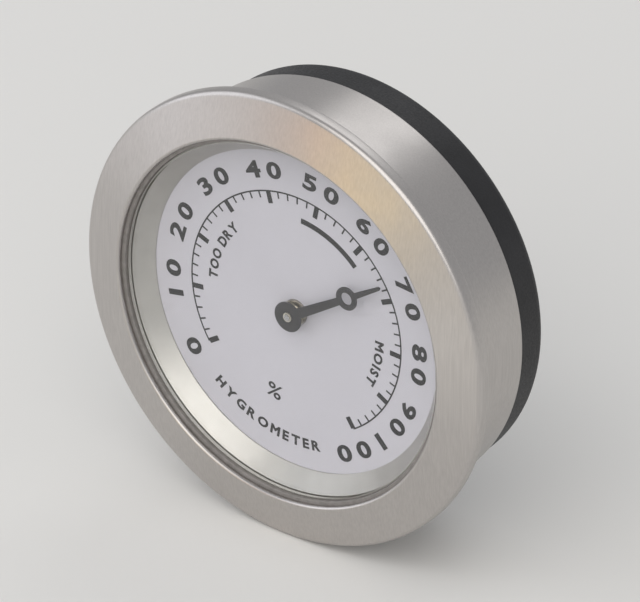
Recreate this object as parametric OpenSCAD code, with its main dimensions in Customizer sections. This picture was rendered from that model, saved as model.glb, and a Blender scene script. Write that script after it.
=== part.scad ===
// Dial hygrometer that presses into a round hole, with a coil movement and a calibration screw.
// Frame: X to the right of the dial, +Z up, the dial looks along -Y. The origin lies on the axis, in the
// plane of the flange's back face, which is the panel's front face. Each piece is drawn standing on the
// axis with its height measured towards the viewer, and mounted() then turns it so that the dial looks
// along -Y.

/* [Case] */
// Outer diameter of the bezel's flange
flange_d = 37; // [36:0.5:39]
// Diameter of the barrel that presses into the panel's hole
barrel_d = 33.5; // [33:0.1:34.4]
// Length of the bezel's barrel behind the flange
barrel_len = 6.5; // [5:0.5:7]
// Diameter of the window inside the raised rim
window_d = 29.8; // [29.4:0.1:30.2]
// Height of the raised rim in front of the panel
rim_height = 1.95; // [1.8:0.05:2.3]
// Height of the flange's outer edge in front of the panel
edge_height = 1.2; // [0.9:0.05:1.3]
// How far the instrument reaches behind the panel
case_depth = 9.5; // [9.5:0.5:12]

/* [Dial] */
// How far the whole instrument is turned clockwise in its hole, in degrees
dial_turn = 11.5; // [-180:0.5:180]
// Diameter of the dial that stays in sight inside the rehaut
dial_view_d = 26.4; // [25:0.2:27]
// Depth of the dial's face behind the panel's front
dial_depth = 0.9; // [0.8:0.05:1]
// Angle that the scale covers from 0 to 100, in degrees
scale_sweep = 270; // [240:5:300]

/* [Pointer] */
// Relative humidity that the pointer shows, in per cent
reading = 67; // [0:1:100]
// Length of the pointer from the axis to its tip
pointer_len = 10.2; // [9.5:0.1:11]
// Distance of the pointer's ring from the axis
ring_reach = 6.5; // [5.5:0.1:7]
// Outer diameter of the pointer's ring
ring_d = 1.9; // [1.6:0.1:2.2]
// Diameter of the pointer's hub disc
hub_disc_d = 2.45; // [2.2:0.05:2.8]

/* [Movement] */
// Number of turns of the moisture-sensitive coil
coil_turns = 6.5; // [4.5:1:7.5]
// Width of the coil's strip
coil_width = 2.4; // [2:0.1:2.4]
// Thickness of the metal strip
strip_t = 0.12; // [0.1:0.01:0.15]
// Thickness of the moisture-sensitive layer on the strip
layer_t = 0.13; // [0.1:0.01:0.15]
// Distance of the coil's outer anchor from the axis
anchor_reach = 10.2; // [9.8:0.1:10.3]

/* [Back] */
// Vent slots between each two rear screws
vents_per_third = 5; // [3:1:5]
// Width of a vent slot
vent_w = 1.5; // [1:0.1:1.6]
// Circle that the three pillars and rear screws stand on, as a radius
pillar_reach = 12.8; // [12.7:0.05:12.9]

/* [Hidden] */
$fn = 96;
eps = 0.01;
slip = 0.02;                  // gap all round between pieces that are pushed into each other
running = 0.04;               // gap all round a shaft in its bearing

// radii of the case
flange_r = flange_d / 2;
barrel_r = barrel_d / 2;
window_r = window_d / 2;
barrel_wall = 0.55;
bore_r = barrel_r - barrel_wall;
stack_r = bore_r - slip;      // rehaut, dial and movement plate
seat_r = window_r + 0.4;      // gasket's seat behind the rim
crystal_r = seat_r - slip - 0.7;
dial_view_r = dial_view_d / 2;

// heights along the axis, positive towards the viewer
lip_back = 1.5;
crystal_front = 1.3;
crystal_t = 0.8;
crystal_back = crystal_front - crystal_t;
gasket_back = 0.4;
dial_face = -dial_depth;
dial_t = 0.4;
plate_front = dial_face - dial_t;
plate_t = 0.8;
plate_back = plate_front - plate_t;
pointer_back = 0;
pointer_t = 0.15;
pointer_front = pointer_back + pointer_t;
case_back = -case_depth;
wall_t = 1;
wall_front = case_back + wall_t;
pocket_floor = case_back + 0.7;
pocket_r = 3.4;

// arbor, bearings and collets
arbor_r = 0.4;
front_pivot_r = 0.25;
rear_pivot_r = 0.3;
rear_pivot_len = 0.75;
bush_front = dial_face + 0.15;
bush_nose_r = 1;              // the part of the bush in the dial's hole
bush_body_r = 1.5;            // the part in the movement plate
bush_flange_r = 2.4;
bush_flange_t = 0.5;
pointer_hub_r = 0.8;
pointer_hub_len = 0.6;
spigot_r = 0.38;

// adjuster, from the coil back to the slotted head
hub_flange_r = 2.4;
hub_neck_r = 1.3;
hub_shank_r = 1.5;
rear_bush_r = 2.2;
rear_bush_flange_r = 2.6;
rear_bush_front = wall_front + 0.3;
disc_spring_h = 0.3;
hub_flange_back = rear_bush_front + disc_spring_h + slip;
hub_flange_front = hub_flange_back + 0.5;
arm_t = 0.4;
arm_front = hub_flange_front + arm_t;
arbor_shoulder = arm_front + 0.05;
clip_t = 0.2;
groove_r = 1.15;
clip_front = pocket_floor - slip;
slot_w = 0.5;
slot_depth = 0.45;

// coil
coil_back = arm_front + 0.8;
coil_front = coil_back + coil_width;
collet_r = 1.6;
coil_in_r = collet_r + 0.02;
coil_t = strip_t + layer_t;
coil_out_r = anchor_reach - coil_t / 2;
coil_steps = 28;              // straight pieces in one turn
coil_n = round(coil_turns * coil_steps);
stud_r = 0.55;

// pillars and screws
pillar_r = 1.2;
thread_r = 0.5;
screw_head_r = 1.1;
screw_head_h = 0.5;
screw_slot_w = 0.3;
pad_h = 0.6;
pad_r = 2;
pillar_back = wall_front + pad_h;
screw_seat = case_back + 0.75;
foot_r = 0.4;
foot_reach = 13.6;
foot_len = 1;

// ---- helpers ----

function polar(r, a) = [r * cos(a), r * sin(a)];

// Points of an arc round a centre, from angle a0 to a1.
function arc_points(centre, r, a0, a1, n = 6) =
    [for (i = [0:n]) centre + polar(r, a0 + (a1 - a0) * i / n)];

// Turns a piece drawn on its axis so that its front looks along -Y, with the instrument's own turn.
module mounted() rotate([90, 0, 0]) rotate([0, 0, -dial_turn]) children();

// A ring between two radii and two heights.
module ring(r_in, r_out, z0, z1) {
    translate([0, 0, z0])
        difference() {
            cylinder(r = r_out, h = z1 - z0);
            translate([0, 0, -1]) cylinder(r = r_in, h = z1 - z0 + 2);
        }
}

module disc(r, z0, z1) translate([0, 0, z0]) cylinder(r = r, h = z1 - z0);

// Places something at each of three points of a circle, the first one straight up.
module at_thirds(reach, first = 90) {
    for (i = [0:2]) rotate([0, 0, first + 120 * i]) translate([reach, 0, 0]) children();
}

// A slot with round ends that runs outwards from r0 to r1.
module radial_slot(r0, r1, w, z0, z1) {
    translate([0, 0, z0]) linear_extrude(z1 - z0) {
        translate([r0 + w / 2, -w / 2]) square([r1 - r0 - w, w]);
        translate([r0 + w / 2, 0]) circle(d = w, $fn = 32);
        translate([r1 - w / 2, 0]) circle(d = w, $fn = 32);
    }
}

// ---- case ----

// Flange, raised rim and barrel, turned in one piece.
module bezel() {
    edge_round = 0.45;
    rim_round = 0.2;
    lead_in = 0.25;
    color("silver") mounted() rotate_extrude() polygon(concat(
        [[bore_r, -barrel_len], [barrel_r - lead_in, -barrel_len], [barrel_r, lead_in - barrel_len]],
        [[barrel_r, 0], [flange_r - 0.15, 0], [flange_r, 0.15]],
        arc_points([flange_r - edge_round, edge_height - edge_round], edge_round, 0, 78),
        arc_points([window_r + rim_round, rim_height - rim_round], rim_round, 78, 180),
        [[window_r, lip_back], [seat_r, lip_back], [seat_r, gasket_back], [bore_r, gasket_back]]
    ));
}

// Black ring that holds the crystal and stands a little in front of it.
module crystal_gasket() {
    color("black") mounted() ring(crystal_r + slip / 2, seat_r - slip, gasket_back, lip_back);
}

module crystal() {
    bevel = 0.15;
    color("lightcyan", 0.4) mounted() rotate_extrude() polygon([
        [0, crystal_back], [crystal_r, crystal_back], [crystal_r, crystal_front - bevel],
        [crystal_r - bevel, crystal_front], [0, crystal_front]
    ]);
}

// Bright cone from the crystal down to the dial's edge.
module rehaut_ring() {
    top_r = crystal_r - 0.2;
    lip_r = crystal_r - slip;
    color("gainsboro") mounted() rotate_extrude() polygon([
        [dial_view_r, dial_face], [stack_r, dial_face], [stack_r, gasket_back],
        [lip_r, gasket_back], [lip_r, crystal_back], [top_r, crystal_back],
        [dial_view_r, dial_face + 0.1]
    ]);
}

module dial_plate() {
    color("lavender") mounted() ring(bush_nose_r + slip, stack_r, plate_front, dial_face);
}

module dial_feet() {
    color("peru") mounted()
        for (side = [-1, 1]) translate([side * foot_reach, 0, plate_front - foot_len])
            cylinder(r = foot_r, h = foot_len, $fn = 32);
}

// ---- movement plate and back ----

module movement_plate() {
    color("darkkhaki") mounted() difference() {
        disc(stack_r, plate_back, plate_front);
        disc(bush_body_r + slip, plate_back - 1, plate_front + 1);
        for (side = [-1, 1]) translate([side * foot_reach, 0, 0])
            disc(foot_r + slip, plate_back - 1, plate_front + 1);
        at_thirds(pillar_reach) {
            disc(thread_r + slip, plate_back - 1, plate_front + 1);
            translate([0, 0, plate_front - screw_head_h])
                cylinder(r1 = thread_r + slip, r2 = screw_head_r + slip, h = screw_head_h);
        }
    }
}

// Bearing of the arbor's front end, with a flange behind the movement plate.
module front_bush() {
    color("goldenrod") mounted() difference() {
        union() {
            disc(bush_nose_r, plate_front - eps, bush_front);
            disc(bush_body_r, plate_back - eps, plate_front);
            disc(bush_flange_r, plate_back - bush_flange_t, plate_back);
        }
        disc(arbor_r + running, plate_back - 2, bush_front + 1);
    }
}

module pillar(i) {
    color("darkgoldenrod") mounted() rotate([0, 0, 90 + 120 * i]) translate([pillar_reach, 0, 0])
        ring(thread_r + slip, pillar_r, pillar_back, plate_back);
}

// Countersunk screws that hold the pillars from under the dial.
module pillar_screws() {
    shank = 2;
    color("lightgray") mounted() at_thirds(pillar_reach) difference() {
        union() {
            disc(thread_r, plate_front - shank, plate_front - screw_head_h + eps);
            translate([0, 0, plate_front - screw_head_h])
                cylinder(r1 = thread_r, r2 = screw_head_r, h = screw_head_h);
        }
        translate([0, 0, plate_front - 0.2]) screw_slot();
    }
}

// The driver's slot of a small screw, cut upwards from height 0.
module screw_slot()
    translate([-2 * screw_head_r, -screw_slot_w / 2, 0]) cube([4 * screw_head_r, screw_slot_w, 1]);

// Moulded cup that closes the case, with vent slots in its back.
module rear_housing() {
    back_r = barrel_r - 0.3;
    side_t = 1;
    corner = 0.8;
    cup_r = bore_r - slip;
    color("dimgray") mounted() difference() {
        union() {
            rotate_extrude() polygon(concat(
                [[0, case_back]],
                arc_points([back_r - corner, case_back + corner], corner, -90, 0),
                [[back_r, -barrel_len], [cup_r, -barrel_len], [cup_r, plate_back],
                 [cup_r - side_t, plate_back], [cup_r - side_t, wall_front], [0, wall_front]]
            ));
            at_thirds(pillar_reach) disc(pad_r, wall_front - eps, pillar_back);
        }
        // pocket and hole of the adjuster
        disc(pocket_r, case_back - 1, pocket_floor);
        disc(rear_bush_r + slip, case_back - 1, wall_front + 1);
        // counterbores of the rear screws
        at_thirds(pillar_reach) {
            disc(screw_head_r + 0.1, case_back - 1, screw_seat);  // room round the head
            disc(thread_r + slip, case_back - 1, pillar_back + 1);
        }
        vents();
    }
}

// Vent slots in three groups, one between each two screws.
module vents() {
    inner_r = 5.2;
    outer_r = 12.6;
    step = 90 / vents_per_third;
    for (third = [0:2], k = [0:vents_per_third - 1])
        rotate([0, 0, 150 + 120 * third + (k - (vents_per_third - 1) / 2) * step])
            radial_slot(inner_r, outer_r, vent_w, case_back - 1, wall_front + 1);
}

module rear_bush() {
    color("goldenrod") mounted() difference() {
        union() {
            disc(rear_bush_r, pocket_floor, wall_front + eps);
            disc(rear_bush_flange_r, wall_front, rear_bush_front);
        }
        disc(hub_shank_r + running, case_back - 1, rear_bush_front + 1);
    }
}

module rear_screws() {
    shank = 3;
    slot_floor = screw_seat - screw_head_h + 0.25;
    color("lightgray") mounted() at_thirds(pillar_reach) difference() {
        union() {
            disc(screw_head_r, screw_seat - screw_head_h, screw_seat);
            disc(thread_r, screw_seat - eps, screw_seat + shank);
        }
        translate([0, 0, slot_floor - 1]) screw_slot();
    }
}

// ---- calibration adjuster, which turns as one ----

// Shank with the screwdriver slot at the back and the arbor's rear bearing at the front.
module adjuster_hub() {
    color("gold") mounted() difference() {
        union() {
            disc(hub_neck_r, hub_flange_front - eps, arm_front);
            disc(hub_flange_r, hub_flange_back, hub_flange_front);
            disc(hub_shank_r, clip_front, hub_flange_back + eps);
            disc(groove_r, clip_front - clip_t - eps, clip_front + eps);
            disc(hub_shank_r, case_back + 0.05, clip_front - clip_t);
        }
        disc(rear_pivot_r + running, hub_flange_back, arm_front + 1);
        translate([-hub_shank_r - 1, -slot_w / 2, case_back - 1])
            cube([2 * hub_shank_r + 2, slot_w, slot_depth + 1.05]);
    }
}

// Lever that carries the coil's outer anchor.
module adjuster_arm() {
    width = 1.6;
    color("khaki") mounted() difference() {
        union() {
            disc(hub_flange_r + 0.2, hub_flange_front, arm_front);
            translate([0, -width / 2, hub_flange_front]) cube([anchor_reach, width, arm_t]);
            translate([anchor_reach, 0, 0]) disc(width / 2, hub_flange_front, arm_front);
        }
        disc(hub_neck_r, hub_flange_front - 1, arm_front + 1);
        translate([anchor_reach, 0, 0]) disc(stud_r, hub_flange_front - 1, arm_front + 1);
    }
}

// Post on the arm, slit to take the coil's outer end.
module coil_anchor_stud() {
    slit = coil_t + 0.1;
    color("goldenrod") mounted() translate([anchor_reach, 0, 0]) difference() {
        disc(stud_r, hub_flange_front, coil_front + 0.1);
        translate([-slit / 2, -1, coil_back - 0.05]) cube([slit, 2, coil_width + 1]);
    }
}

// Spring washer that gives the adjuster its friction.
module disc_spring() {
    t = 0.15;
    bottom = rear_bush_front + slip;
    color("slategray") mounted() rotate_extrude() polygon([
        [hub_shank_r + 0.1, hub_flange_back - t], [hub_flange_r, bottom],
        [hub_flange_r, bottom + t], [hub_shank_r + 0.1, hub_flange_back]
    ]);
}

// Open clip in the hub's groove that keeps the hub in the back wall.
module adjuster_clip() {
    color("slategray") mounted() difference() {
        ring(groove_r + slip, 2.1, clip_front - clip_t, clip_front);
        translate([0, -0.75, clip_front - 1]) cube([3, 1.5, 2]);
    }
}

// ---- moisture-sensitive coil ----

// Inner radius of the coil after t steps from its inner end.
function coil_r(t) = coil_in_r + (coil_out_r - coil_in_r) * t / coil_n;

// Edge of the coil at a depth through its thickness, from the inner end to the anchor.
function coil_edge(depth) =
    [for (t = [0:coil_n]) polar(coil_r(t) + depth, 360 * (t - coil_n) / coil_steps)];

module coil_layer(from_depth, to_depth) {
    near = coil_edge(from_depth);
    far = coil_edge(to_depth);
    translate([0, 0, coil_back]) linear_extrude(coil_width)
        polygon(concat(near, [for (t = [coil_n:-1:0]) far[t]]));
}

module coil_strip() color("darkgoldenrod") mounted() coil_layer(0, strip_t);

module coil_moisture_layer() color("burlywood") mounted() coil_layer(strip_t, coil_t);

// ---- pointer assembly ----

// Shaft with a thin front end for the pointer's hub and a rear pivot that runs in the adjuster.
module arbor() {
    color("silver") mounted() {
        disc(arbor_r, arbor_shoulder, bush_front + 0.05);
        disc(rear_pivot_r, arbor_shoulder - rear_pivot_len, arbor_shoulder + eps);
        disc(front_pivot_r, bush_front, pointer_front + 0.12);
    }
}

// Ring on the arbor that clamps the coil's inner end.
module coil_collet() {
    color("goldenrod") mounted() difference() {
        ring(arbor_r, collet_r, coil_back - 0.1, coil_front + 0.1);
        translate([0.9, -0.1, coil_back - 1]) cube([2, 0.2, coil_width + 2]);
    }
}

// Collet under the pointer, with a spigot through the pointer's disc.
module pointer_hub() {
    color("goldenrod") pointed() union() {
        ring(front_pivot_r, pointer_hub_r, pointer_back - pointer_hub_len, pointer_back);
        ring(front_pivot_r, spigot_r, pointer_back - eps, pointer_front + 0.08);
    }
}

// Turns a piece drawn upright to the scale's angle for the reading.
module pointed() mounted() rotate([0, 0, -(reading - 50) * scale_sweep / 100]) children();

module pointer() {
    root_w = 0.85;
    neck_w = 0.6;
    tip_root_w = 0.5;
    tip_w = 0.3;
    ring_r = ring_d / 2;
    hole_r = 0.5;
    color([0.12, 0.12, 0.13]) pointed() translate([0, 0, pointer_back]) linear_extrude(pointer_t)
        difference() {
            union() {
                circle(d = hub_disc_d);
                polygon([[-root_w / 2, 0.5], [root_w / 2, 0.5],
                         [neck_w / 2, ring_reach - ring_r + 0.2], [-neck_w / 2, ring_reach - ring_r + 0.2]]);
                translate([0, ring_reach]) circle(r = ring_r, $fn = 48);
                polygon([[-tip_root_w / 2, ring_reach + ring_r - 0.2],
                         [tip_root_w / 2, ring_reach + ring_r - 0.2],
                         [tip_w / 2, pointer_len], [-tip_w / 2, pointer_len]]);
            }
            circle(r = spigot_r, $fn = 32);
            translate([0, ring_reach]) circle(r = hole_r, $fn = 32);
        }
}

bezel();
crystal_gasket();
crystal();
rehaut_ring();
dial_plate();
dial_feet();
movement_plate();
front_bush();
pillar(0);  // pillar_1
pillar(1);  // pillar_2
pillar(2);  // pillar_3
pillar_screws();
rear_housing();
rear_bush();
rear_screws();
adjuster_hub();
adjuster_arm();
coil_anchor_stud();
disc_spring();
adjuster_clip();
coil_strip();
coil_moisture_layer();
arbor();
coil_collet();
pointer_hub();
pointer();
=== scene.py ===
"""Looks of a small dial hygrometer that presses into a round hole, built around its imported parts.

The dial looks along -Y and +Z is up, so a smaller y is nearer to the viewer. Lathe profiles are lists of
(radius, y), in millimetres, round the Y axis. Angles on the dial run clockwise from twelve o'clock.
"""

import math

import bpy
from mathutils import Matrix, Vector


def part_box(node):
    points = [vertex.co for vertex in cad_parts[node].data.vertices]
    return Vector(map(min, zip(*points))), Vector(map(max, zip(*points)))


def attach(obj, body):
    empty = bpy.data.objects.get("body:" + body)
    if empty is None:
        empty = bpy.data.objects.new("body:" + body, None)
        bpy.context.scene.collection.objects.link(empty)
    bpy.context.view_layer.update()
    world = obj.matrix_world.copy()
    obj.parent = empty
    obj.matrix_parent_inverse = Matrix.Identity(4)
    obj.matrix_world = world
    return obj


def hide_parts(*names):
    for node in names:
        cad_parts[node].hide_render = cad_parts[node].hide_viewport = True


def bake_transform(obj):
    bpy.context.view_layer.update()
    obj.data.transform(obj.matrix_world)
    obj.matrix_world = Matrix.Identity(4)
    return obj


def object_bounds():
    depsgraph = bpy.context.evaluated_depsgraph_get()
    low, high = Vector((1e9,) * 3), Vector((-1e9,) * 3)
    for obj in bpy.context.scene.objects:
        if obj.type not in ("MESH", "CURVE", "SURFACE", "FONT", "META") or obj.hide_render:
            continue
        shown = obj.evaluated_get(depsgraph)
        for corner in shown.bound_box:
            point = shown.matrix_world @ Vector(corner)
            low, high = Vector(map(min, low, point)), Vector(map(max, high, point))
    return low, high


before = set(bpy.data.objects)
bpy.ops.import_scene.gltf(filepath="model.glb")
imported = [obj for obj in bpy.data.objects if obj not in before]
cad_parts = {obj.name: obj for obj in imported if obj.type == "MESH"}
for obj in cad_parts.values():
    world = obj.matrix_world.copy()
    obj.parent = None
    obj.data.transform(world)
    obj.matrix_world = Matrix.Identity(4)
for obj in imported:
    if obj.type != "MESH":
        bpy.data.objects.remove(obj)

CAD_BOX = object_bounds()

bl_info = {
    "name": "Dial Hygrometer",
    "version": (1, 0, 0),
    "blender": (4, 5, 0),
    "location": "View3D > Sidebar > Hygrometer",
    "description": "Builds a round dial hygrometer around its packed parts",
    "category": "Add Mesh",
}

MM = 0.001
SAME_POINT = 0.0005 * MM


# ---- sizes taken from the frame, in millimetres ----


def radius_of(node):
    low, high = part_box(node)
    return (high.x - low.x) / 2 / MM


def front_of(node):
    """The y nearest to the viewer."""
    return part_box(node)[0].y / MM


def back_of(node):
    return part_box(node)[1].y / MM


def linear(hex_colour):
    """An sRGB hex colour such as C4C1C8 as linear red, green and blue."""
    parts = [int(hex_colour[i : i + 2], 16) / 255 for i in (0, 2, 4)]
    return [c / 12.92 if c <= 0.04045 else ((c + 0.055) / 1.055) ** 2.4 for c in parts]


# ---- properties ----


def length(name, description, default):
    return bpy.props.FloatProperty(name=name, description=description, default=default * MM, unit="LENGTH")


def angle(name, description, degrees):
    return bpy.props.FloatProperty(
        name=name, description=description, default=math.radians(degrees), unit="ROTATION"
    )


def colour(name, description, hex_colour):
    return bpy.props.FloatVectorProperty(
        name=name, description=description, default=linear(hex_colour), subtype="COLOR", size=3, min=0, max=1
    )


class HygroCase(bpy.types.PropertyGroup):
    edge_height: length("Edge height", "Height of the flange's front edge above the panel", 1.2)
    edge_round: length("Edge rounding", "Radius of the flange's outer edge", 0.45)
    lip_depth: length("Lip depth", "Depth of the rim's inner wall in front of the gasket", 0.45)
    window: length("Window radius", "Radius of the opening inside the rim", 14.9)
    barrel: length("Barrel radius", "Radius of the barrel that presses into the hole", 16.75)
    barrel_wall: length("Barrel wall", "Thickness of the barrel's wall", 0.55)
    metal: colour("Bezel metal", "Colour of the brushed nickel", "C1BDBA")
    plastic: colour("Housing plastic", "Colour of the moulded rear housing", "1B1B1D")


class HygroDial(bpy.types.PropertyGroup):
    turn: angle("Turn in the hole", "How far the instrument is turned clockwise", 11.5)
    sweep: angle("Scale sweep", "Angle from 0 to 100 on the scale", 270)
    scale_radius: length("Scale radius", "Outer ends of the scale's marks", 9.75)
    numeral_radius: length("Numeral radius", "Circle on which the numerals are centred", 11.55)
    numeral_height: length("Numeral height", "Height of the numerals", 1.4)
    zone_radius: length("Zone radius", "Circle of the small words and the comfort arc", 7.8)
    name_radius: length("Name radius", "Circle of the curved word under the scale", 11.1)
    paint: colour("Dial paint", "Colour of the dial's lacquer", "C7C4CC")
    ink: colour("Ink", "Colour of the printed scale", "0E0E11")


class HygroPointer(bpy.types.PropertyGroup):
    reading: bpy.props.FloatProperty(
        name="Reading",
        description="Relative humidity at rest",
        default=67,
        min=0,
        max=100,
        subtype="PERCENTAGE",
    )
    reach: length("Reach", "Length from the axis to the tip", 10.2)
    ring_reach: length("Ring reach", "Distance of the ring from the axis", 6.5)
    ring_radius: length("Ring radius", "Outer radius of the ring", 0.95)
    ring_hole: length("Ring hole", "Radius of the ring's hole", 0.5)
    disc_radius: length("Disc radius", "Radius of the hub disc", 1.225)
    lacquer: colour("Pointer lacquer", "Colour of the pointer", "1E1D21")


class HygroStage(bpy.types.PropertyGroup):
    azimuth: angle("Camera azimuth", "Turn of the camera to the right of the dial's axis", 37.6)
    elevation: angle("Camera elevation", "Height of the camera above the horizon", 30.2)
    distance: bpy.props.FloatProperty(
        name="Camera distance", description="From the camera to the object", default=1.19, unit="LENGTH"
    )
    aim_right: length("Aim to the right", "How far right of the dial's centre the camera aims", 2.1)
    aim_up: length("Aim upwards", "How far above the dial's centre the camera aims", 1.0)
    lens: bpy.props.FloatProperty(name="Lens", description="Focal length in millimetres", default=900)
    floor: colour("Floor", "Colour of the pale floor", "E8E7E4")


GROUPS = {
    "hygro_case": HygroCase,
    "hygro_dial": HygroDial,
    "hygro_pointer": HygroPointer,
    "hygro_stage": HygroStage,
}


# ---- modelling ----


def deselect():
    for o in bpy.context.selected_objects:
        o.select_set(False)


def activate(piece):
    deselect()
    piece.select_set(True)
    bpy.context.view_layer.objects.active = piece


def edit(piece):
    activate(piece)
    bpy.ops.object.mode_set(mode="EDIT")
    bpy.ops.mesh.select_all(action="SELECT")


def leave_edit():
    bpy.ops.object.mode_set(mode="OBJECT")


def settle(piece, turn=0.0):
    """Turns a piece clockwise on the dial and puts its place in its mesh."""
    activate(piece)
    piece.rotation_euler = (Matrix.Rotation(turn, 3, "Y") @ piece.rotation_euler.to_matrix()).to_euler()
    bpy.ops.object.transform_apply(location=False, rotation=True, scale=True)
    piece.location = Matrix.Rotation(turn, 3, "Y") @ piece.location
    bpy.ops.object.transform_apply(location=True, rotation=True, scale=True)
    return piece


def apply_modifier(piece, kind, **settings):
    activate(piece)
    modifier = piece.modifiers.new(kind.title(), kind)
    for name, value in settings.items():
        setattr(modifier, name, value)
    bpy.ops.object.modifier_apply(modifier=modifier.name)
    return piece


def clean(piece, flat=0.0):
    """Merges points that lie together and removes faces without area, then joins faces flat to an angle."""
    edit(piece)
    bpy.ops.mesh.remove_doubles(threshold=SAME_POINT)
    bpy.ops.mesh.dissolve_degenerate(threshold=SAME_POINT)
    if flat:
        bpy.ops.mesh.dissolve_limited(angle_limit=math.radians(flat))
    leave_edit()
    return piece


def soften(piece, width, segments=2, sharp=35):
    """Rounds the hard edges and shades the piece smooth."""
    apply_modifier(
        piece,
        "BEVEL",
        width=width * MM,
        segments=segments,
        limit_method="ANGLE",
        angle_limit=math.radians(sharp),
        miter_outer="MITER_ARC",
        use_clamp_overlap=True,
    )
    clean(piece)
    activate(piece)
    bpy.ops.object.shade_smooth_by_angle(angle=math.radians(sharp))
    # flat faces stay flat to the eye right up to their rounded edges
    return apply_modifier(piece, "WEIGHTED_NORMAL", keep_sharp=True, weight=100)


def new_point(name):
    """A mesh of one vertex at the origin, open in edit mode."""
    deselect()
    bpy.ops.mesh.primitive_plane_add(size=MM)
    piece = bpy.context.object
    piece.name = piece.data.name = name
    edit(piece)
    bpy.ops.mesh.merge(type="CENTER")
    return piece


def trace(points, closed):
    """Moves the one selected vertex to the first point and extrudes it along the others, back if closed."""
    at = Vector(points[0])
    bpy.ops.transform.translate(value=at)
    for point in points[1:] + (points[:1] if closed else []):
        step = Vector(point) - at
        bpy.ops.mesh.extrude_vertices_move(TRANSFORM_OT_translate={"value": step})
        at = Vector(point)
    bpy.ops.mesh.select_all(action="SELECT")
    bpy.ops.mesh.remove_doubles(threshold=SAME_POINT)


def lathe(name, profile, steps=192, ring=True):
    """Spins a profile round the axis. A ring's profile is closed; a disc's ends on the axis."""
    piece = new_point(name)
    trace([(r * MM, y * MM, 0) for r, y in profile], closed=ring)
    bpy.ops.mesh.spin(steps=steps, angle=2 * math.pi, center=(0, 0, 0), axis=(0, 1, 0))
    bpy.ops.mesh.select_all(action="SELECT")
    bpy.ops.mesh.remove_doubles(threshold=SAME_POINT)
    bpy.ops.mesh.normals_make_consistent(inside=False)
    leave_edit()
    return piece


def arc(centre, radius, start, end, steps=6):
    """Points on an arc in a profile, from one angle to another in degrees; 90 points to the viewer."""
    turns = [math.radians(start + (end - start) * i / steps) for i in range(steps + 1)]
    return [(centre[0] + radius * math.cos(t), centre[1] - radius * math.sin(t)) for t in turns]


def slab(name, outline, y, thickness):
    """A flat plate with the outline (x, z) given in millimetres, from y backwards by its thickness."""
    piece = new_point(name)
    trace([(x * MM, y * MM, z * MM) for x, z in outline], closed=True)
    bpy.ops.mesh.edge_face_add()
    bpy.ops.mesh.extrude_region_move(TRANSFORM_OT_translate={"value": (0, thickness * MM, 0)})
    bpy.ops.mesh.select_all(action="SELECT")
    bpy.ops.mesh.normals_make_consistent(inside=False)
    leave_edit()
    return piece


def corners(piece):
    """The lowest and highest corner of a piece at the origin."""
    places = [v.co for v in piece.data.vertices]
    low = Vector([min(p[i] for p in places) for i in range(3)])
    high = Vector([max(p[i] for p in places) for i in range(3)])
    return low, high


def drum(name, radius, y0, y1, x=0.0, z=0.0, vertices=48):
    """A cylinder along Y."""
    deselect()
    bpy.ops.mesh.primitive_cylinder_add(
        vertices=vertices,
        radius=radius * MM,
        depth=abs(y1 - y0) * MM,
        location=(x * MM, (y0 + y1) / 2 * MM, z * MM),
        rotation=(math.pi / 2, 0, 0),
    )
    piece = bpy.context.object
    piece.name = piece.data.name = name
    return settle(piece)


def block(name, size, centre):
    """A box with its size and centre in millimetres."""
    deselect()
    bpy.ops.mesh.primitive_cube_add(size=1, location=[c * MM for c in centre])
    piece = bpy.context.object
    piece.name = piece.data.name = name
    piece.scale = [s * MM for s in size]
    return settle(piece)


def duplicate(piece, turn=0.0):
    copy = piece.copy()
    copy.data = piece.data.copy()
    bpy.context.scene.collection.objects.link(copy)
    return settle(copy, turn)


def join(name, pieces):
    deselect()
    for piece in pieces:
        piece.select_set(True)
    bpy.context.view_layer.objects.active = pieces[0]
    bpy.ops.object.join()
    joined = bpy.context.object
    joined.name = joined.data.name = name
    return joined


def combine(piece, other, operation):
    """Adds or cuts away the other piece, and removes it."""
    apply_modifier(piece, "BOOLEAN", object=other, operation=operation, solver="EXACT", use_self=True)
    bpy.data.meshes.remove(other.data)
    return clean(piece, flat=0.5)


def thirds(first):
    """Three even angles on the dial, from the first one."""
    return [first + i * 2 * math.pi / 3 for i in range(3)]


def at_thirds(make, first):
    """Pieces made by make(x, z) at three places of the screws' circle."""
    return [make(SCREW_CIRCLE * math.sin(a), SCREW_CIRCLE * math.cos(a)) for a in thirds(first)]


def finish(piece, body, slot, material, *nodes):
    """Gives a piece its material and its body, and hides the CAD nodes it stands for. The slot is not used.
    """
    piece.data.materials.clear()
    piece.data.materials.append(material)
    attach(piece, body)
    if nodes:
        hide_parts(*nodes)
    return piece


# ---- materials ----


def add_node(material, kind, inputs=(), **settings):
    """Adds a node. inputs pairs a socket's name or number with a value or with another node's output."""
    tree = material.node_tree
    made = tree.nodes.new(kind)
    for name, value in settings.items():
        setattr(made, name, value)
    for name, value in dict(inputs).items():
        if isinstance(value, bpy.types.NodeSocket):
            tree.links.new(value, made.inputs[name])
        else:
            made.inputs[name].default_value = value
    return made


def blank(name):
    """(material, shader) with only an output and a Principled shader."""
    material = bpy.data.materials.get(name)
    if material:
        bpy.data.materials.remove(material)
    material = bpy.data.materials.new(name)
    material.use_nodes = True
    material.node_tree.nodes.clear()
    shader = add_node(material, "ShaderNodeBsdfPrincipled")
    add_node(material, "ShaderNodeOutputMaterial", {"Surface": shader.outputs[0]})
    return material, shader


def place(material, stretch=(1, 1, 1), turn=0.0):
    """Object coordinates in millimetres, stretched, and turned clockwise on the dial."""
    where = add_node(material, "ShaderNodeTexCoord")
    return add_node(
        material,
        "ShaderNodeMapping",
        {
            "Vector": where.outputs["Object"],
            "Rotation": (0, -turn, 0),
            "Scale": [s / MM for s in stretch],
        },
    ).outputs[0]


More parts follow.
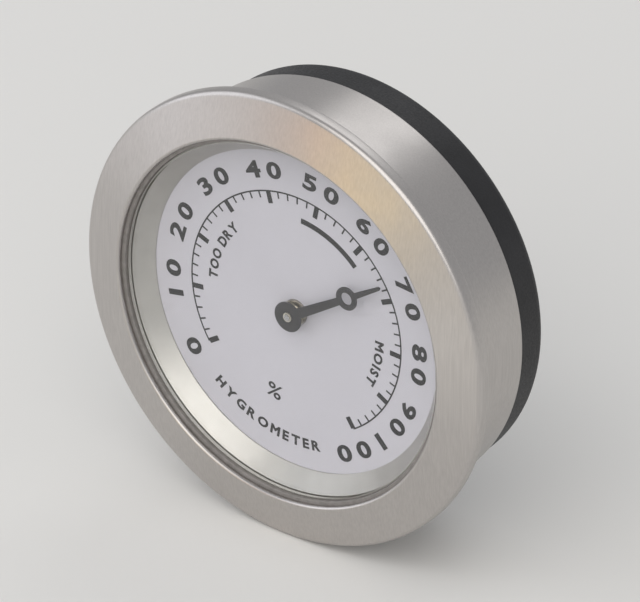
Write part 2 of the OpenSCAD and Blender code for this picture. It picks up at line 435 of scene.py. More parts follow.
def pattern(material, scale=1.0, detail=3.0, roughness=0.5, stretch=(1, 1, 1), turn=0.0):
    """Patches on the piece, with scale of them to a millimetre before it is stretched."""
    where = place(material, stretch, turn)
    return add_node(
        material,
        "ShaderNodeTexNoise",
        {"Vector": where, "Scale": scale, "Detail": detail, "Roughness": roughness},
    ).outputs["Fac"]


def shade(colour, factor):
    """A colour made lighter or darker."""
    return [min(1.0, c * factor) for c in colour]


# a pattern's value mostly stays between these two
SPREAD = {"From Min": 0.3, "From Max": 0.7}


def vary(material, value, colour, low, high):
    """A colour that a pattern shades from a low factor to a high one."""
    share = add_node(material, "ShaderNodeMapRange", {"Value": value, **SPREAD}).outputs[0]
    ends = {"A": (*shade(colour, low), 1), "B": (*shade(colour, high), 1)}
    return add_node(material, "ShaderNodeMix", {"Factor": share, **ends}, data_type="RGBA").outputs["Result"]


def link(material, shader, sockets):
    for name, value in sockets.items():
        material.node_tree.links.new(value, shader.inputs[name])


def surface(material, shader, tone, value, smooth, rough, height=None, depth=0.0, strength=1.0):
    """Links a tone, a roughness that a pattern varies, and relief with a depth in millimetres."""
    ends = {"To Min": smooth, "To Max": rough}
    roughness = add_node(material, "ShaderNodeMapRange", {"Value": value, **SPREAD, **ends})
    sockets = {"Base Color": tone, "Roughness": roughness.outputs[0]}
    if height is not None:
        relief = {"Height": height, "Distance": depth * MM, "Strength": strength}
        sockets["Normal"] = add_node(material, "ShaderNodeBump", relief).outputs[0]
    link(material, shader, sockets)


def brushed_nickel(name, colour, turn):
    """Nickel plate over brass, brushed with a belt: fine straight lines that soften what it mirrors."""
    material, shader = blank(name)
    # lines 0.1 mm apart and 5 mm long: coarser than a belt leaves, so that they show
    lines = pattern(material, detail=4, roughness=0.6, stretch=(9, 9, 0.18), turn=turn)
    cloud = pattern(material, 0.25, 2)
    tone = vary(material, lines, colour, 0.9, 1.04)
    shader.inputs["Metallic"].default_value = 1
    surface(material, shader, tone, cloud, 0.3, 0.38, lines, 0.004, 0.6)
    return material


def turned_metal(name, colour, roughness=(0.2, 0.3), line=0.05, depth=0.002, variation=0.06):
    """Metal turned on a lathe: fine rings round the axis, one tool mark every line millimetres."""
    material, shader = blank(name)
    where = add_node(material, "ShaderNodeTexCoord").outputs["Object"]
    parts = add_node(material, "ShaderNodeSeparateXYZ", {"Vector": where})
    flat = add_node(material, "ShaderNodeCombineXYZ", {"X": parts.outputs["X"], "Y": parts.outputs["Z"]})
    reach = add_node(
        material, "ShaderNodeVectorMath", {0: flat.outputs[0]}, operation="LENGTH"
    ).outputs["Value"]
    rings = add_node(material, "ShaderNodeCombineXYZ", {"X": reach, "Y": parts.outputs["Y"]}).outputs[0]
    tool_marks = {"Vector": rings, "Scale": 1 / (line * MM), "Detail": 2, "Roughness": 0.5}
    grooves = add_node(material, "ShaderNodeTexNoise", tool_marks).outputs["Fac"]
    cloud = pattern(material, 0.6, 3)
    tone = vary(material, cloud, colour, 1 - variation, 1 + variation / 2)
    shader.inputs["Metallic"].default_value = 1
    surface(material, shader, tone, grooves, *roughness, grooves, depth, 0.7)
    return material


def stamped_metal(name, colour, roughness=(0.28, 0.42)):
    """Sheet metal as stamped: rolling grain along the sheet and faint handling marks."""
    material, shader = blank(name)
    grain = pattern(material, detail=4, stretch=(0.6, 6, 8))
    marks = pattern(material, 1.4, 5, 0.65)
    tone = vary(material, marks, colour, 0.82, 1.05)
    shader.inputs["Metallic"].default_value = 1
    surface(material, shader, tone, marks, *roughness, grain, 0.003, 0.6)
    return material


def mineral_glass(name, ground_from):
    """Clear polished glass, ground to a pale grey on its edge, outside a radius in millimetres."""
    material, shader = blank(name)
    shader.inputs["IOR"].default_value = 1.49
    # coated against glare, so it mirrors about half of what bare glass does
    shader.inputs["Specular IOR Level"].default_value = 0.22
    across = add_node(
        material, "ShaderNodeVectorMath", {0: place(material), 1: (1, 0, 1)}, operation="MULTIPLY"
    ).outputs[0]
    reach = add_node(material, "ShaderNodeVectorMath", {0: across}, operation="LENGTH").outputs["Value"]
    edge = add_node(
        material, "ShaderNodeMath", {0: reach, 1: ground_from}, operation="GREATER_THAN"
    ).outputs[0]
    # wiping marks too faint to blur the dial
    wipe = pattern(material, stretch=(0.12, 0.12, 0.5))
    faint = {"Value": wipe, "From Min": 0.45, "From Max": 0.75, "To Min": 0.0, "To Max": 0.015}
    clear = add_node(material, "ShaderNodeMapRange", faint).outputs[0]
    # grinding grit on the edge only; the faces are polished
    grit = pattern(material, 12, 2)
    ends = {"A": (*CLEAR_GLASS, 1), "B": (*GROUND_GLASS, 1)}
    tone = add_node(material, "ShaderNodeMix", {"Factor": edge, **ends}, data_type="RGBA")
    roughness = add_node(material, "ShaderNodeMix", {0: edge, 2: clear, 3: 0.6})
    see_through = add_node(material, "ShaderNodeMapRange", {"Value": edge, "To Min": 1, "To Max": 0.15})
    relief = add_node(
        material, "ShaderNodeBump", {"Height": grit, "Distance": 0.004 * MM, "Strength": edge}
    )
    sockets = {
        "Base Color": tone.outputs["Result"],
        "Roughness": roughness.outputs[0],
        "Transmission Weight": see_through.outputs[0],
        "Normal": relief.outputs[0],
    }
    link(material, shader, sockets)
    # lamps shine through onto the dial
    rays = add_node(material, "ShaderNodeLightPath").outputs["Is Shadow Ray"]
    through = add_node(material, "ShaderNodeBsdfTransparent", {"Color": (0.93, 0.94, 0.94, 1)})
    mixed = add_node(
        material, "ShaderNodeMixShader", {0: rays, 1: shader.outputs[0], 2: through.outputs[0]}
    )
    output = next(n for n in material.node_tree.nodes if n.type == "OUTPUT_MATERIAL")
    material.node_tree.links.new(mixed.outputs[0], output.inputs["Surface"])
    return material


def moulded_rubber(name, colour):
    """Rubber from a mould: matt, with a faint bloom."""
    material, shader = blank(name)
    bloom = pattern(material, 2.2, 4)
    fine = pattern(material, 18, 2)
    tone = vary(material, bloom, colour, 0.9, 1.25)
    surface(material, shader, tone, bloom, 0.5, 0.68, fine, 0.006, 0.5)
    return material


def dial_lacquer(name, colour):
    """Matt lacquer sprayed on the dial: almost even, with a trace of orange peel."""
    material, shader = blank(name)
    cloud = pattern(material, 0.12, 3)
    peel = pattern(material, 3.2, 2)
    tone = vary(material, cloud, colour, 0.975, 1.01)
    shader.inputs["Specular IOR Level"].default_value = 0.35
    surface(material, shader, tone, peel, 0.42, 0.55, peel, 0.006, 0.35)
    return material


def printed_ink(name, colour):
    """Pad-printed ink: matt, with tiny thin spots in its cover."""
    material, shader = blank(name)
    shader.inputs["Specular IOR Level"].default_value = 0.2
    cover = pattern(material, 7, 3)
    tone = vary(material, cover, colour, 1.7, 1)
    surface(material, shader, tone, cover, 0.5, 0.65, cover, 0.003, 0.4)
    return material


def black_lacquer(name, colour):
    """Stoved black lacquer on the pointer: satin, with a slight flow."""
    material, shader = blank(name)
    flow = pattern(material, 2.5, 3)
    tone = vary(material, flow, colour, 0.8, 1.35)
    shader.inputs["Specular IOR Level"].default_value = 0.3
    shader.inputs["Coat Weight"].default_value = 0.08
    shader.inputs["Coat Roughness"].default_value = 0.2
    surface(material, shader, tone, flow, 0.3, 0.42, flow, 0.006, 0.3)
    return material


def spark_textured_plastic(name, colour):
    """ABS from a spark-eroded mould: a fine even grit that breaks up the light."""
    material, shader = blank(name)
    # spark pits 0.15 mm across
    grit = pattern(material, 6.5, 2)
    wear = pattern(material, 0.35, 4)
    tone = vary(material, wear, colour, 0.85, 1.5)
    surface(material, shader, tone, grit, 0.42, 0.6, grit, 0.03, 0.7)
    return material


def coated_paper(name, colour):
    """Paper coated with a moisture-sensitive salt: fibrous, with paler blotches."""
    material, shader = blank(name)
    fibres = pattern(material, detail=5, roughness=0.7, stretch=(2, 9, 2))
    blotch = pattern(material, 0.7, 3)
    tone = vary(material, blotch, colour, 0.8, 1.12)
    surface(material, shader, tone, fibres, 0.75, 0.95, fibres, 0.01, 0.6)
    return material


def pale_floor(name, colour):
    """Matt painted board."""
    material, shader = blank(name)
    cloud = pattern(material, 0.01, 3)
    tone = vary(material, cloud, colour, 0.985, 1.0)
    surface(material, shader, tone, cloud, 0.7, 0.8)
    return material


BRASS = linear("C9A45A")
OLD_BRASS = linear("B8955A")
STEEL = linear("B9B9BC")
DARK_STEEL = linear("77787C")
BRONZE = linear("B07A45")
PAPER = linear("C9B083")
RUBBER = linear("7C7875")
NICKEL = linear("C2BFBA")
PLATED_BRASS = linear("D2CBBD")
PLATED_BUSH = linear("C6BFB2")
CLEAR_GLASS = linear("FDFEFE")
GROUND_GLASS = linear("B9B7B2")

# sizes in the back, in millimetres
SCREW_CIRCLE = 12.8
BUSH_BODY = 2.2


# ---- operators ----


class HYGRO_OT_bezel(bpy.types.Operator):
    """Turned bezel with its flange, raised rim and barrel"""

    bl_idname = "hygro.bezel"
    bl_label = "Bezel"
    bl_options = {"REGISTER", "UNDO"}

    def execute(self, context):
        scene = context.scene
        case = scene.hygro_case
        flange, rim = radius_of("bezel"), front_of("bezel")
        window, barrel = case.window / MM, case.barrel / MM
        bore = barrel - case.barrel_wall / MM
        clearance, chamfer = 0.02, 0.15
        seat = radius_of("crystal_gasket") + clearance
        edge, edge_round, rim_round = case.edge_height / MM, case.edge_round / MM, 0.2
        lip = rim + case.lip_depth / MM
        # the flange's face slopes down by 12 degrees from the rim to its edge
        slope = 78
        seat_back, end, lead_in = back_of("crystal_gasket"), back_of("bezel"), 0.25
        profile = [
            (bore, end),
            (barrel - lead_in, end),
            (barrel, end - lead_in),
            (barrel, 0),
            (flange - chamfer, 0),
            (flange, -chamfer),
            *arc((flange - edge_round, edge_round - edge), edge_round, 0, slope, 8),
            *arc((window + rim_round, rim + rim_round), rim_round, slope, 180, 8),
            (window, lip),
            (seat, lip),
            (seat, seat_back),
            (bore, seat_back),
        ]
        bezel = soften(lathe("bezel_ring", profile, steps=256), 0.05, 2, 28)
        metal = brushed_nickel("Brushed nickel", case.metal, scene.hygro_dial.turn)
        finish(bezel, "case", "bezel", metal, "bezel")
        return {"FINISHED"}


class HYGRO_OT_window(bpy.types.Operator):
    """Crystal and its gasket"""

    bl_idname = "hygro.window"
    bl_label = "Crystal and gasket"
    bl_options = {"REGISTER", "UNDO"}

    def execute(self, context):
        front, back, outer = front_of("crystal"), back_of("crystal"), radius_of("crystal")
        facet = 0.15
        profile = [(0, back), (outer, back), (outer, front + facet), (outer - facet, front), (0, front)]
        crystal = soften(lathe("window_crystal", profile, ring=False), 0.04, 2, 25)
        glass = mineral_glass("Mineral glass", outer - facet - 0.01)
        finish(crystal, "case", "crystal", glass, "crystal")

        front, back = front_of("crystal_gasket"), back_of("crystal_gasket")
        inner, outer = outer + 0.01, radius_of("crystal_gasket")
        profile = [(inner, back), (outer, back), (outer, front), (inner, front)]
        gasket = soften(lathe("crystal_seal", profile), 0.08, 3)
        rubber = moulded_rubber("Grey rubber", RUBBER)
        finish(gasket, "case", "gasket", rubber, "crystal_gasket")
        return {"FINISHED"}


class HYGRO_OT_rehaut(bpy.types.Operator):
    """Bright turned cone between the crystal and the dial"""

    bl_idname = "hygro.rehaut"
    bl_label = "Rehaut ring"
    bl_options = {"REGISTER", "UNDO"}

    def execute(self, context):
        outer = radius_of("rehaut_ring")
        lip_front, face = front_of("rehaut_ring"), front_of("dial_plate")
        shoulder = back_of("crystal_gasket")
        lip = radius_of("crystal") - 0.02
        top, foot = lip - 0.18, 13.2
        profile = [
            (foot, face),
            (outer, face),
            (outer, shoulder),
            (lip, shoulder),
            (lip, lip_front),
            (top, lip_front),
            (foot, face - 0.1),
        ]
        ring = soften(lathe("rehaut_cone", profile, steps=224), 0.03, 2, 25)
        metal = turned_metal("Satin turned nickel", NICKEL, (0.36, 0.44), 0.08, 0.002)
        finish(ring, "case", "rehaut", metal, "rehaut_ring")
        return {"FINISHED"}


class HYGRO_OT_dial(bpy.types.Operator):
    """Lacquered dial plate"""

    bl_idname = "hygro.dial"
    bl_label = "Dial plate"
    bl_options = {"REGISTER", "UNDO"}

    def execute(self, context):
        scene = context.scene
        outer, front, back = radius_of("dial_plate"), front_of("dial_plate"), back_of("dial_plate")
        hole = 1.02
        profile = [(hole, back), (outer, back), (outer, front), (hole, front)]
        plate = soften(lathe("dial_disc", profile), 0.03, 2)
        finish(plate, "case", "dial", dial_lacquer("Dial lacquer", scene.hygro_dial.paint), "dial_plate")
        return {"FINISHED"}


class HYGRO_OT_print(bpy.types.Operator):
    """Printed scale: marks, arcs, numerals, unit and small words"""

    bl_idname = "hygro.print"
    bl_label = "Dial print"
    bl_options = {"REGISTER", "UNDO"}

    # in millimetres: the ink's thickness, and each kind of mark's length and width
    INK = 0.016
    FINE, TENS = (0.5, 0.13), (0.95, 0.42)
    # heights of the small words, of the curved one and of the percent sign
    SMALL, NAME, SIGN = 0.82, 0.85, 1.25
    # where the small words and the comfort arc are on the scale
    DRY, MOIST, COMFORT = 20.8, 84.2, (47, 62)
    # middle of the curved word and the percent sign, in degrees clockwise from twelve o'clock
    FOOT = 195

    def scale_angle(self, dial, value):
        return dial.turn + dial.sweep * (value / 100 - 0.5)

    def mark(self, dial, value, length, width):
        outer = dial.scale_radius / MM
        inner = outer - length
        size = (width, self.INK, outer - inner)
        piece = block("mark", size, (0, self.face - self.INK / 2, (inner + outer) / 2))
        return settle(piece, self.scale_angle(dial, value))

    def band(self, name, inner, outer, start, end):
        """A printed arc between two radii and two angles on the dial."""
        steps = max(12, round(math.degrees(end - start) / 1.5))
        turns = [start + (end - start) * i / steps for i in range(steps + 1)]
        rim = [(outer * math.sin(a), outer * math.cos(a)) for a in turns]
        core = [(inner * math.sin(a), inner * math.cos(a)) for a in reversed(turns)]
        return slab(name, rim + core, self.face - self.INK, self.INK)

    def glyph(self, text, height, widen, weight, rim):
        """A printed character of that height, centred on the origin, and widened.

        Weight thickens the strokes of a numeral. A rim thickens the finer strokes of a small letter,
        whose sharp corners would cross if weight moved them.
        """
        deselect()
        bpy.ops.object.text_add()
        letter = bpy.context.object
        letter.data.body = text
        letter.data.size = height * MM
        letter.data.offset = weight * MM
        letter.data.bevel_depth = rim * MM
        letter.data.bevel_resolution = 0
        letter.data.extrude = self.INK * MM
        # with more points to a curve, thickened strokes cross at the waists of the 3 and the 8
        letter.data.resolution_u = 4
        # flat letters look up; this stands them up to face the viewer
        letter.rotation_euler = (math.pi / 2, 0, 0)
        bpy.ops.object.convert(target="MESH")
        letter = settle(bpy.context.object)
        edit(letter)
        bpy.ops.mesh.remove_doubles(threshold=SAME_POINT)
        bpy.ops.mesh.normals_make_consistent(inside=False)
        leave_edit()
        low, high = corners(letter)
        letter.location = -(low + high) / 2
        settle(letter)
        tall = height * MM / (high.z - low.z)
        letter.scale = (tall * widen, self.INK * MM / (high.y - low.y), tall)
        return settle(letter)

    def word(self, text, height, reach, middle, widen, gap, weight=0.0, rim=0.0, least=0.0, upright=True):
        """Characters a gap apart on a circle, with their tops outwards, or inwards if not upright."""
        letters = {i: self.glyph(c, height, widen, weight, rim) for i, c in enumerate(text) if c != " "}
        widths = []
        for i in range(len(text)):
            low, high = corners(letters[i]) if i in letters else (Vector(), Vector((height / 3 * MM, 0, 0)))
            widths.append(max(least, (high.x - low.x) / MM) + gap)
        start = -sum(widths) / 2
        for i, letter in letters.items():
            along = start + sum(widths[:i]) + widths[i] / 2
            if not upright:
                settle(letter, math.pi)
            letter.location = (0, (self.face - self.INK / 2) * MM, reach * MM)
            settle(letter, middle + along / reach * (1 if upright else -1))
        return list(letters.values())

    def execute(self, context):
        scene = context.scene
        dial = scene.hygro_dial
        self.face = front_of("dial_plate")
        ink = printed_ink("Printed ink", dial.ink)
        outer = dial.scale_radius / MM

        marks = [self.mark(dial, value, *self.FINE) for value in range(0, 101, 2) if value % 10]
        marks += [self.mark(dial, value, *self.TENS) for value in range(0, 101, 10)]
        finish(join("scale_marks", marks), "case", "ink", ink)

        zone = dial.zone_radius / MM
        start, end = self.scale_angle(dial, 0), self.scale_angle(dial, 100)
        comfort_start, comfort_end = (self.scale_angle(dial, value) for value in self.COMFORT)
        arcs = [
            self.band("scale_arc", outer, outer + 0.12, start, end),
            self.band("comfort_arc", zone - 0.05, zone + 0.4, comfort_start, comfort_end),
        ]
        finish(join("scale_arcs", arcs), "case", "ink", ink)

        height, reach = dial.numeral_height / MM, dial.numeral_radius / MM
        numerals = []
        for value in range(0, 101, 10):
            middle = self.scale_angle(dial, value)
            numerals += self.word(str(value), height, reach, middle, 1.5, 0.45, weight=0.05, least=1.6)
        finish(join("scale_numerals", numerals), "case", "ink", ink)

        name_reach, foot = dial.name_radius / MM, math.radians(self.FOOT)
        dry, moist = self.scale_angle(dial, self.DRY), self.scale_angle(dial, self.MOIST)
        words = self.word("TOO DRY", self.SMALL, zone, dry, 1.0, 0.14, rim=0.035)
        words += self.word("MOIST", self.SMALL, zone, moist, 1.1, 0.2, rim=0.035)
        words += self.word("HYGROMETER", self.NAME, name_reach, foot, 1.1, 0.26, rim=0.035, upright=False)
        words += self.word("%", self.SIGN, zone, foot, 1.2, 0, rim=0.015, upright=False)
        finish(join("dial_words", words), "case", "ink", ink)
        return {"FINISHED"}


class HYGRO_OT_pointer(bpy.types.Operator):
    """Lacquered pointer and the brass hub under it"""

    bl_idname = "hygro.pointer"
    bl_label = "Pointer"
    bl_options = {"REGISTER", "UNDO"}

    # radius of the hub's spigot, as a share of the hub's own
    SPIGOT = 0.475

    def execute(self, context):
        scene = context.scene
        dial, pointer = scene.hygro_dial, scene.hygro_pointer
        front, back = front_of("pointer"), back_of("pointer")
        thick = back - front
        ring_at, ring, hole = pointer.ring_reach / MM, pointer.ring_radius / MM, pointer.ring_hole / MM
        # half widths of the arm and of the tip, and how far both run into the ring
        root, neck, tip_root, tip, overlap = 0.425, 0.3, 0.25, 0.15, 0.2
        arm = [(-root, 0.5), (root, 0.5), (neck, ring_at - ring + overlap), (-neck, ring_at - ring + overlap)]
        point = [
            (-tip_root, ring_at + ring - overlap),
            (tip_root, ring_at + ring - overlap),
            (tip, pointer.reach / MM - tip),
            (0, pointer.reach / MM),
            (-tip, pointer.reach / MM - tip),
        ]
        hand = drum("pointer_hand", pointer.disc_radius / MM, front, back, vertices=96)
        hand = combine(hand, slab("arm", arm, front, thick), "UNION")
        hand = combine(hand, drum("ring", ring, front, back, 0, ring_at, 64), "UNION")
        hand = combine(hand, slab("tip", point, front, thick), "UNION")
        hand = combine(hand, drum("hole", hole, front - 1, back + 1, 0, ring_at, 48), "DIFFERENCE")
        bore = radius_of("pointer_hub") * self.SPIGOT
        hand = combine(hand, drum("bore", bore, front - 1, back + 1), "DIFFERENCE")
        soften(hand, 0.035, 2, 30)
        heading = dial.turn + dial.sweep * (pointer.reading / 100 - 0.5)
        settle(hand, heading)
        lacquer = black_lacquer("Black lacquer", pointer.lacquer)
        finish(hand, "pointer", "pointer", lacquer, "pointer")

        outer, top, foot = radius_of("pointer_hub"), front_of("pointer_hub"), back_of("pointer_hub")
        spigot, shaft = outer * self.SPIGOT, 0.25
        profile = [
            (shaft, foot),
            (outer, foot),
            (outer, back),
            (spigot, back),
            (spigot, top),
            (shaft, top),
        ]
        hub = soften(lathe("pointer_collet", profile, steps=64), 0.03, 2)
        plated = turned_metal("Nickel-plated brass", PLATED_BRASS, (0.2, 0.32), 0.04)
        finish(hub, "pointer", "brass_parts", plated, "pointer_hub")
        return {"FINISHED"}


class HYGRO_OT_housing(bpy.types.Operator):
    """Moulded rear housing with its vent slots"""

    bl_idname = "hygro.housing"
    bl_label = "Rear housing"
    bl_options = {"REGISTER", "UNDO"}

    def execute(self, context):
        scene = context.scene
        case, turn = scene.hygro_case, scene.hygro_dial.turn
        end, mouth = back_of("rear_housing"), front_of("rear_housing")
        outer = radius_of("rear_housing")
        barrel_end = back_of("bezel")
        plug = case.barrel / MM - case.barrel_wall / MM - 0.02
        wall, corner = 1.0, 0.8
        inside = end - wall
        profile = [
            (0, end),
            *arc((outer - corner, end - corner), corner, -90, 0, 8),
            (outer, barrel_end),
            (plug, barrel_end),
            (plug, mouth),
            (plug - wall, mouth),
            (plug - wall, inside),
            (0, inside),
        ]
        cup = lathe("rear_cover", profile, steps=192, ring=False)
        pad_front, cup_end = back_of("pillar_1"), end + 1
        pads = at_thirds(lambda x, z: drum("pad", 2, pad_front, inside + 0.3, x, z, 64), turn)
        cup = combine(cup, join("pads", pads), "UNION")

        seat, pocket_floor = end - 0.75, end - 0.7
        pocket, counterbore, screw_hole = 3.4, 1.2, 0.52
        cutters = [
            drum("pocket", pocket, pocket_floor, cup_end, vertices=96),
            drum("centre", BUSH_BODY + 0.02, inside - 1, cup_end, vertices=64),
            *at_thirds(lambda x, z: drum("counterbore", counterbore, seat, cup_end, x, z), turn),
            *at_thirds(lambda x, z: drum("screw_hole", screw_hole, pad_front - 1, cup_end, x, z, 32), turn),
        ]
        # five vent slots 18 degrees apart in each gap between two screws
        for third in range(3):
            for k in range(-2, 3):
                cutters.append(self.slot(inside, end, turn + math.radians(60 + 120 * third + k * 18)))
        cup = combine(cup, join("cutters", cutters), "DIFFERENCE")
        soften(cup, 0.12, 3, 38)
        plastic = spark_textured_plastic("Spark-textured ABS", case.plastic)
        finish(cup, "case", "housing", plastic, "rear_housing")
        return {"FINISHED"}

    def slot(self, inside, end, turn):
        """A cutter with round ends that runs outwards along one radius."""
        half, inner, outer = 0.75, 5.2, 12.6
        half_turn = [math.pi * i / 12 for i in range(13)]
        left = [(-half * math.cos(a), inner + half - half * math.sin(a)) for a in half_turn]
        right = [(half * math.cos(a), outer - half + half * math.sin(a)) for a in half_turn]
        cutter = slab("slot", left + right, inside - 1, end - inside + 2)
        return settle(cutter, turn)


class HYGRO_OT_back_hardware(bpy.types.Operator):
    """Screws, bush, slotted adjuster and clip in the back"""

    bl_idname = "hygro.back_hardware"
    bl_label = "Back hardware"
    bl_options = {"REGISTER", "UNDO"}

    def execute(self, context):
        scene = context.scene
        turn = scene.hygro_dial.turn
        steel = turned_metal("Zinc-plated steel", STEEL, (0.26, 0.4), 0.06, 0.003, 0.12)
        brass = turned_metal("Turned brass", BRASS, (0.2, 0.32), 0.04)
        spring = stamped_metal("Spring steel", DARK_STEEL)
        self.screws(turn, steel)
        self.bush(brass)
        self.adjuster(turn, brass)
        self.clip(turn, spring)
        return {"FINISHED"}

    def screws(self, turn, steel):
        head_back = back_of("rear_housing") - 0.25
        seat, tip = head_back - 0.5, front_of("rear_screws")
        head, shank, point = 1.1, 0.5, 0.35
        profile = [
            (0, head_back),
            (head, head_back),
            (head, seat),
            (shank, seat),
            (shank, tip + 0.2),
            (point, tip),
            (0, tip),
        ]
        screw = lathe("screw", profile, steps=64, ring=False)
        screw = combine(screw, block("cut", (4, 1, 0.3), (0, head_back + 0.25, 0)), "DIFFERENCE")
        soften(screw, 0.06, 3)
        screws = []
        for i, where in enumerate(thirds(turn)):
            # each slot stopped at its own angle when the screw was tightened
            copy = duplicate(screw, 0.6 + 1.1 * i)
            copy.location = Vector((math.sin(where), 0, math.cos(where))) * SCREW_CIRCLE * MM
            screws.append(settle(copy))
        bpy.data.meshes.remove(screw.data)
        finish(join("back_screws", screws), "case", "screws", steel, "rear_screws")

    def bush(self, brass):
        front, back = front_of("rear_bush"), back_of("rear_bush")
        flange = radius_of("rear_bush")
        bore, step = 1.54, front + 0.3
        profile = [
            (bore, back),
            (BUSH_BODY, back),
            (BUSH_BODY, step),
            (flange, step),
            (flange, front),
            (bore, front),
        ]
        bush = soften(lathe("back_bush", profile, steps=96), 0.04, 2)
        finish(bush, "case", "brass_parts", brass, "rear_bush")

    def adjuster(self, turn, brass):
        front, back = front_of("adjuster_hub"), back_of("adjuster_hub")
        flange_front = back_of("adjuster_arm")
        flange_back = flange_front + 0.5
        clip_front, clip_back = front_of("adjuster_clip"), back_of("adjuster_clip")
        body, groove, flange, nose, bore = 1.5, 1.15, 2.4, 1.3, 0.34
        bore_end = flange_back - 0.02
        profile = [
            (0, back),
            (body, back),
            (body, clip_back),
            (groove, clip_back),
            (groove, clip_front),
            (body, clip_front),
            (body, flange_back),
            (flange, flange_back),
            (flange, flange_front),
            (nose, flange_front),
            (nose, front),
            (bore, front),
            (bore, bore_end),
            (0, bore_end),
        ]
        hub = lathe("adjuster_screw", profile, steps=96, ring=False)
        hub = combine(hub, block("cut", (5, 1, 0.5), (0, back + 0.05, 0)), "DIFFERENCE")
        soften(hub, 0.05, 3)
        settle(hub, turn)
        finish(hub, "adjuster", "brass_parts", brass, "adjuster_hub")

    def clip(self, turn, spring):
        front, back = front_of("adjuster_clip"), back_of("adjuster_clip")
        inner, outer = 1.17, 2.1
        profile = [(inner, back), (outer, back), (outer, front), (inner, front)]
        clip = lathe("retaining_clip", profile, steps=96)
        clip = combine(clip, block("gap", (3, 1, 1.5), (1.5, (front + back) / 2, 0)), "DIFFERENCE")
        soften(clip, 0.03, 2)
        settle(clip, turn)
        finish(clip, "adjuster", "spring_steel", spring, "adjuster_clip")


class HYGRO_OT_coil(bpy.types.Operator):
    """Moisture-sensitive coil, which in the instrument winds as the pointer turns; built in one wound pose"""

    bl_idname = "hygro.coil"
    bl_label = "Coil"
    bl_options = {"REGISTER", "UNDO"}

    TURNS = 6.5
    INNER, OUTER = 1.62, 10.075
    STRIP, LAYER = 0.12, 0.13
    # Blender cuts an edge into 101 parts at most, so the ribbon is cut twice: 56 parts to a turn
    PARTS = (91, 4)

    def execute(self, context):
        scene = context.scene
        bronze = stamped_metal("Rolled bronze", BRONZE, (0.25, 0.38))
        paper = coated_paper("Moisture-sensitive paper", PAPER)
        turn, outside = scene.hygro_dial.turn, self.STRIP + self.LAYER
        strip = self.layer("coil_ribbon", 0, self.STRIP, turn, bronze)
        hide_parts("coil_strip")
        coating = self.layer("coil_coating", self.STRIP, outside, turn, paper)
        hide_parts("coil_moisture_layer")
        return {"FINISHED"}

    def layer(self, name, near, far, turn, material):
        """A straight ribbon a metre long is wound up: each point's share of the length sets its radius and
        how far round it goes.

        No edit mode operator winds a ribbon, so its points are moved in code.
        """
        y0, y1 = front_of("coil_strip"), back_of("coil_strip")
        ribbon = block(name, (1000, y1 - y0, far - near), (500, (y0 + y1) / 2, (near + far) / 2))
        for parts in self.PARTS:
            self.divide(ribbon, parts)
        soften(ribbon, 0.025, 2)
        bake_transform(ribbon)
        ribbon.data.materials.clear()
        ribbon.data.materials.append(material)
        for v in ribbon.data.vertices:
            share = min(1.0, max(0.0, v.co.x))
            reach = (self.INNER + (self.OUTER - self.INNER) * share) * MM + v.co.z
            where = turn + math.pi / 2 + (1 - share) * self.TURNS * 2 * math.pi
            v.co = (reach * math.sin(where), v.co.y, reach * math.cos(where))
        # winding it up has turned its faces inwards
        edit(ribbon)
        bpy.ops.mesh.flip_normals()
        leave_edit()
        return ribbon

    def divide(self, ribbon, parts):
        """Cuts the ribbon across into equal parts."""
        activate(ribbon)
        tools = bpy.context.tool_settings
        tools.mesh_select_mode = (False, True, False)
        bpy.ops.object.mode_set(mode="EDIT")
        bpy.ops.mesh.select_all(action="DESELECT")
        leave_edit()
        for edge in ribbon.data.edges:
            a, b = (ribbon.data.vertices[i].co for i in edge.vertices)
            edge.select = abs(a.x - b.x) > SAME_POINT
        bpy.ops.object.mode_set(mode="EDIT")
        bpy.ops.mesh.subdivide(number_cuts=parts - 1)
        leave_edit()
        tools.mesh_select_mode = (True, False, False)


class HYGRO_OT_inner_finishes(bpy.types.Operator):
    """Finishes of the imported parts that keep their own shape"""

    bl_idname = "hygro.inner_finishes"
    bl_label = "Inner finishes"
    bl_options = {"REGISTER", "UNDO"}

    def execute(self, context):
        brass = turned_metal("Turned brass pins", OLD_BRASS, (0.22, 0.36), 0.05)
        plated = turned_metal("Nickel-plated bush", PLATED_BUSH, (0.2, 0.32), 0.04)
        plate = stamped_metal("Stamped brass sheet", OLD_BRASS)
        steel = turned_metal("Burnished steel", STEEL, (0.14, 0.24), 0.03)
        screw = turned_metal("Zinc-plated screw", STEEL, (0.26, 0.4), 0.06, 0.003, 0.12)
        spring = stamped_metal("Tempered steel", DARK_STEEL)
        finishes = {
            "dial_feet": brass,
            "front_bush": plated,
            "pillar_1": brass,
            "pillar_2": brass,
            "pillar_3": brass,
            "coil_anchor_stud": brass,
            "coil_collet": brass,
            "movement_plate": plate,
            "adjuster_arm": plate,
            "arbor": steel,
            "pillar_screws": screw,
            "disc_spring": spring,
        }
        for name, material in finishes.items():
            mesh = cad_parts[name].data
            mesh.materials.clear()
            mesh.materials.append(material)
        return {"FINISHED"}


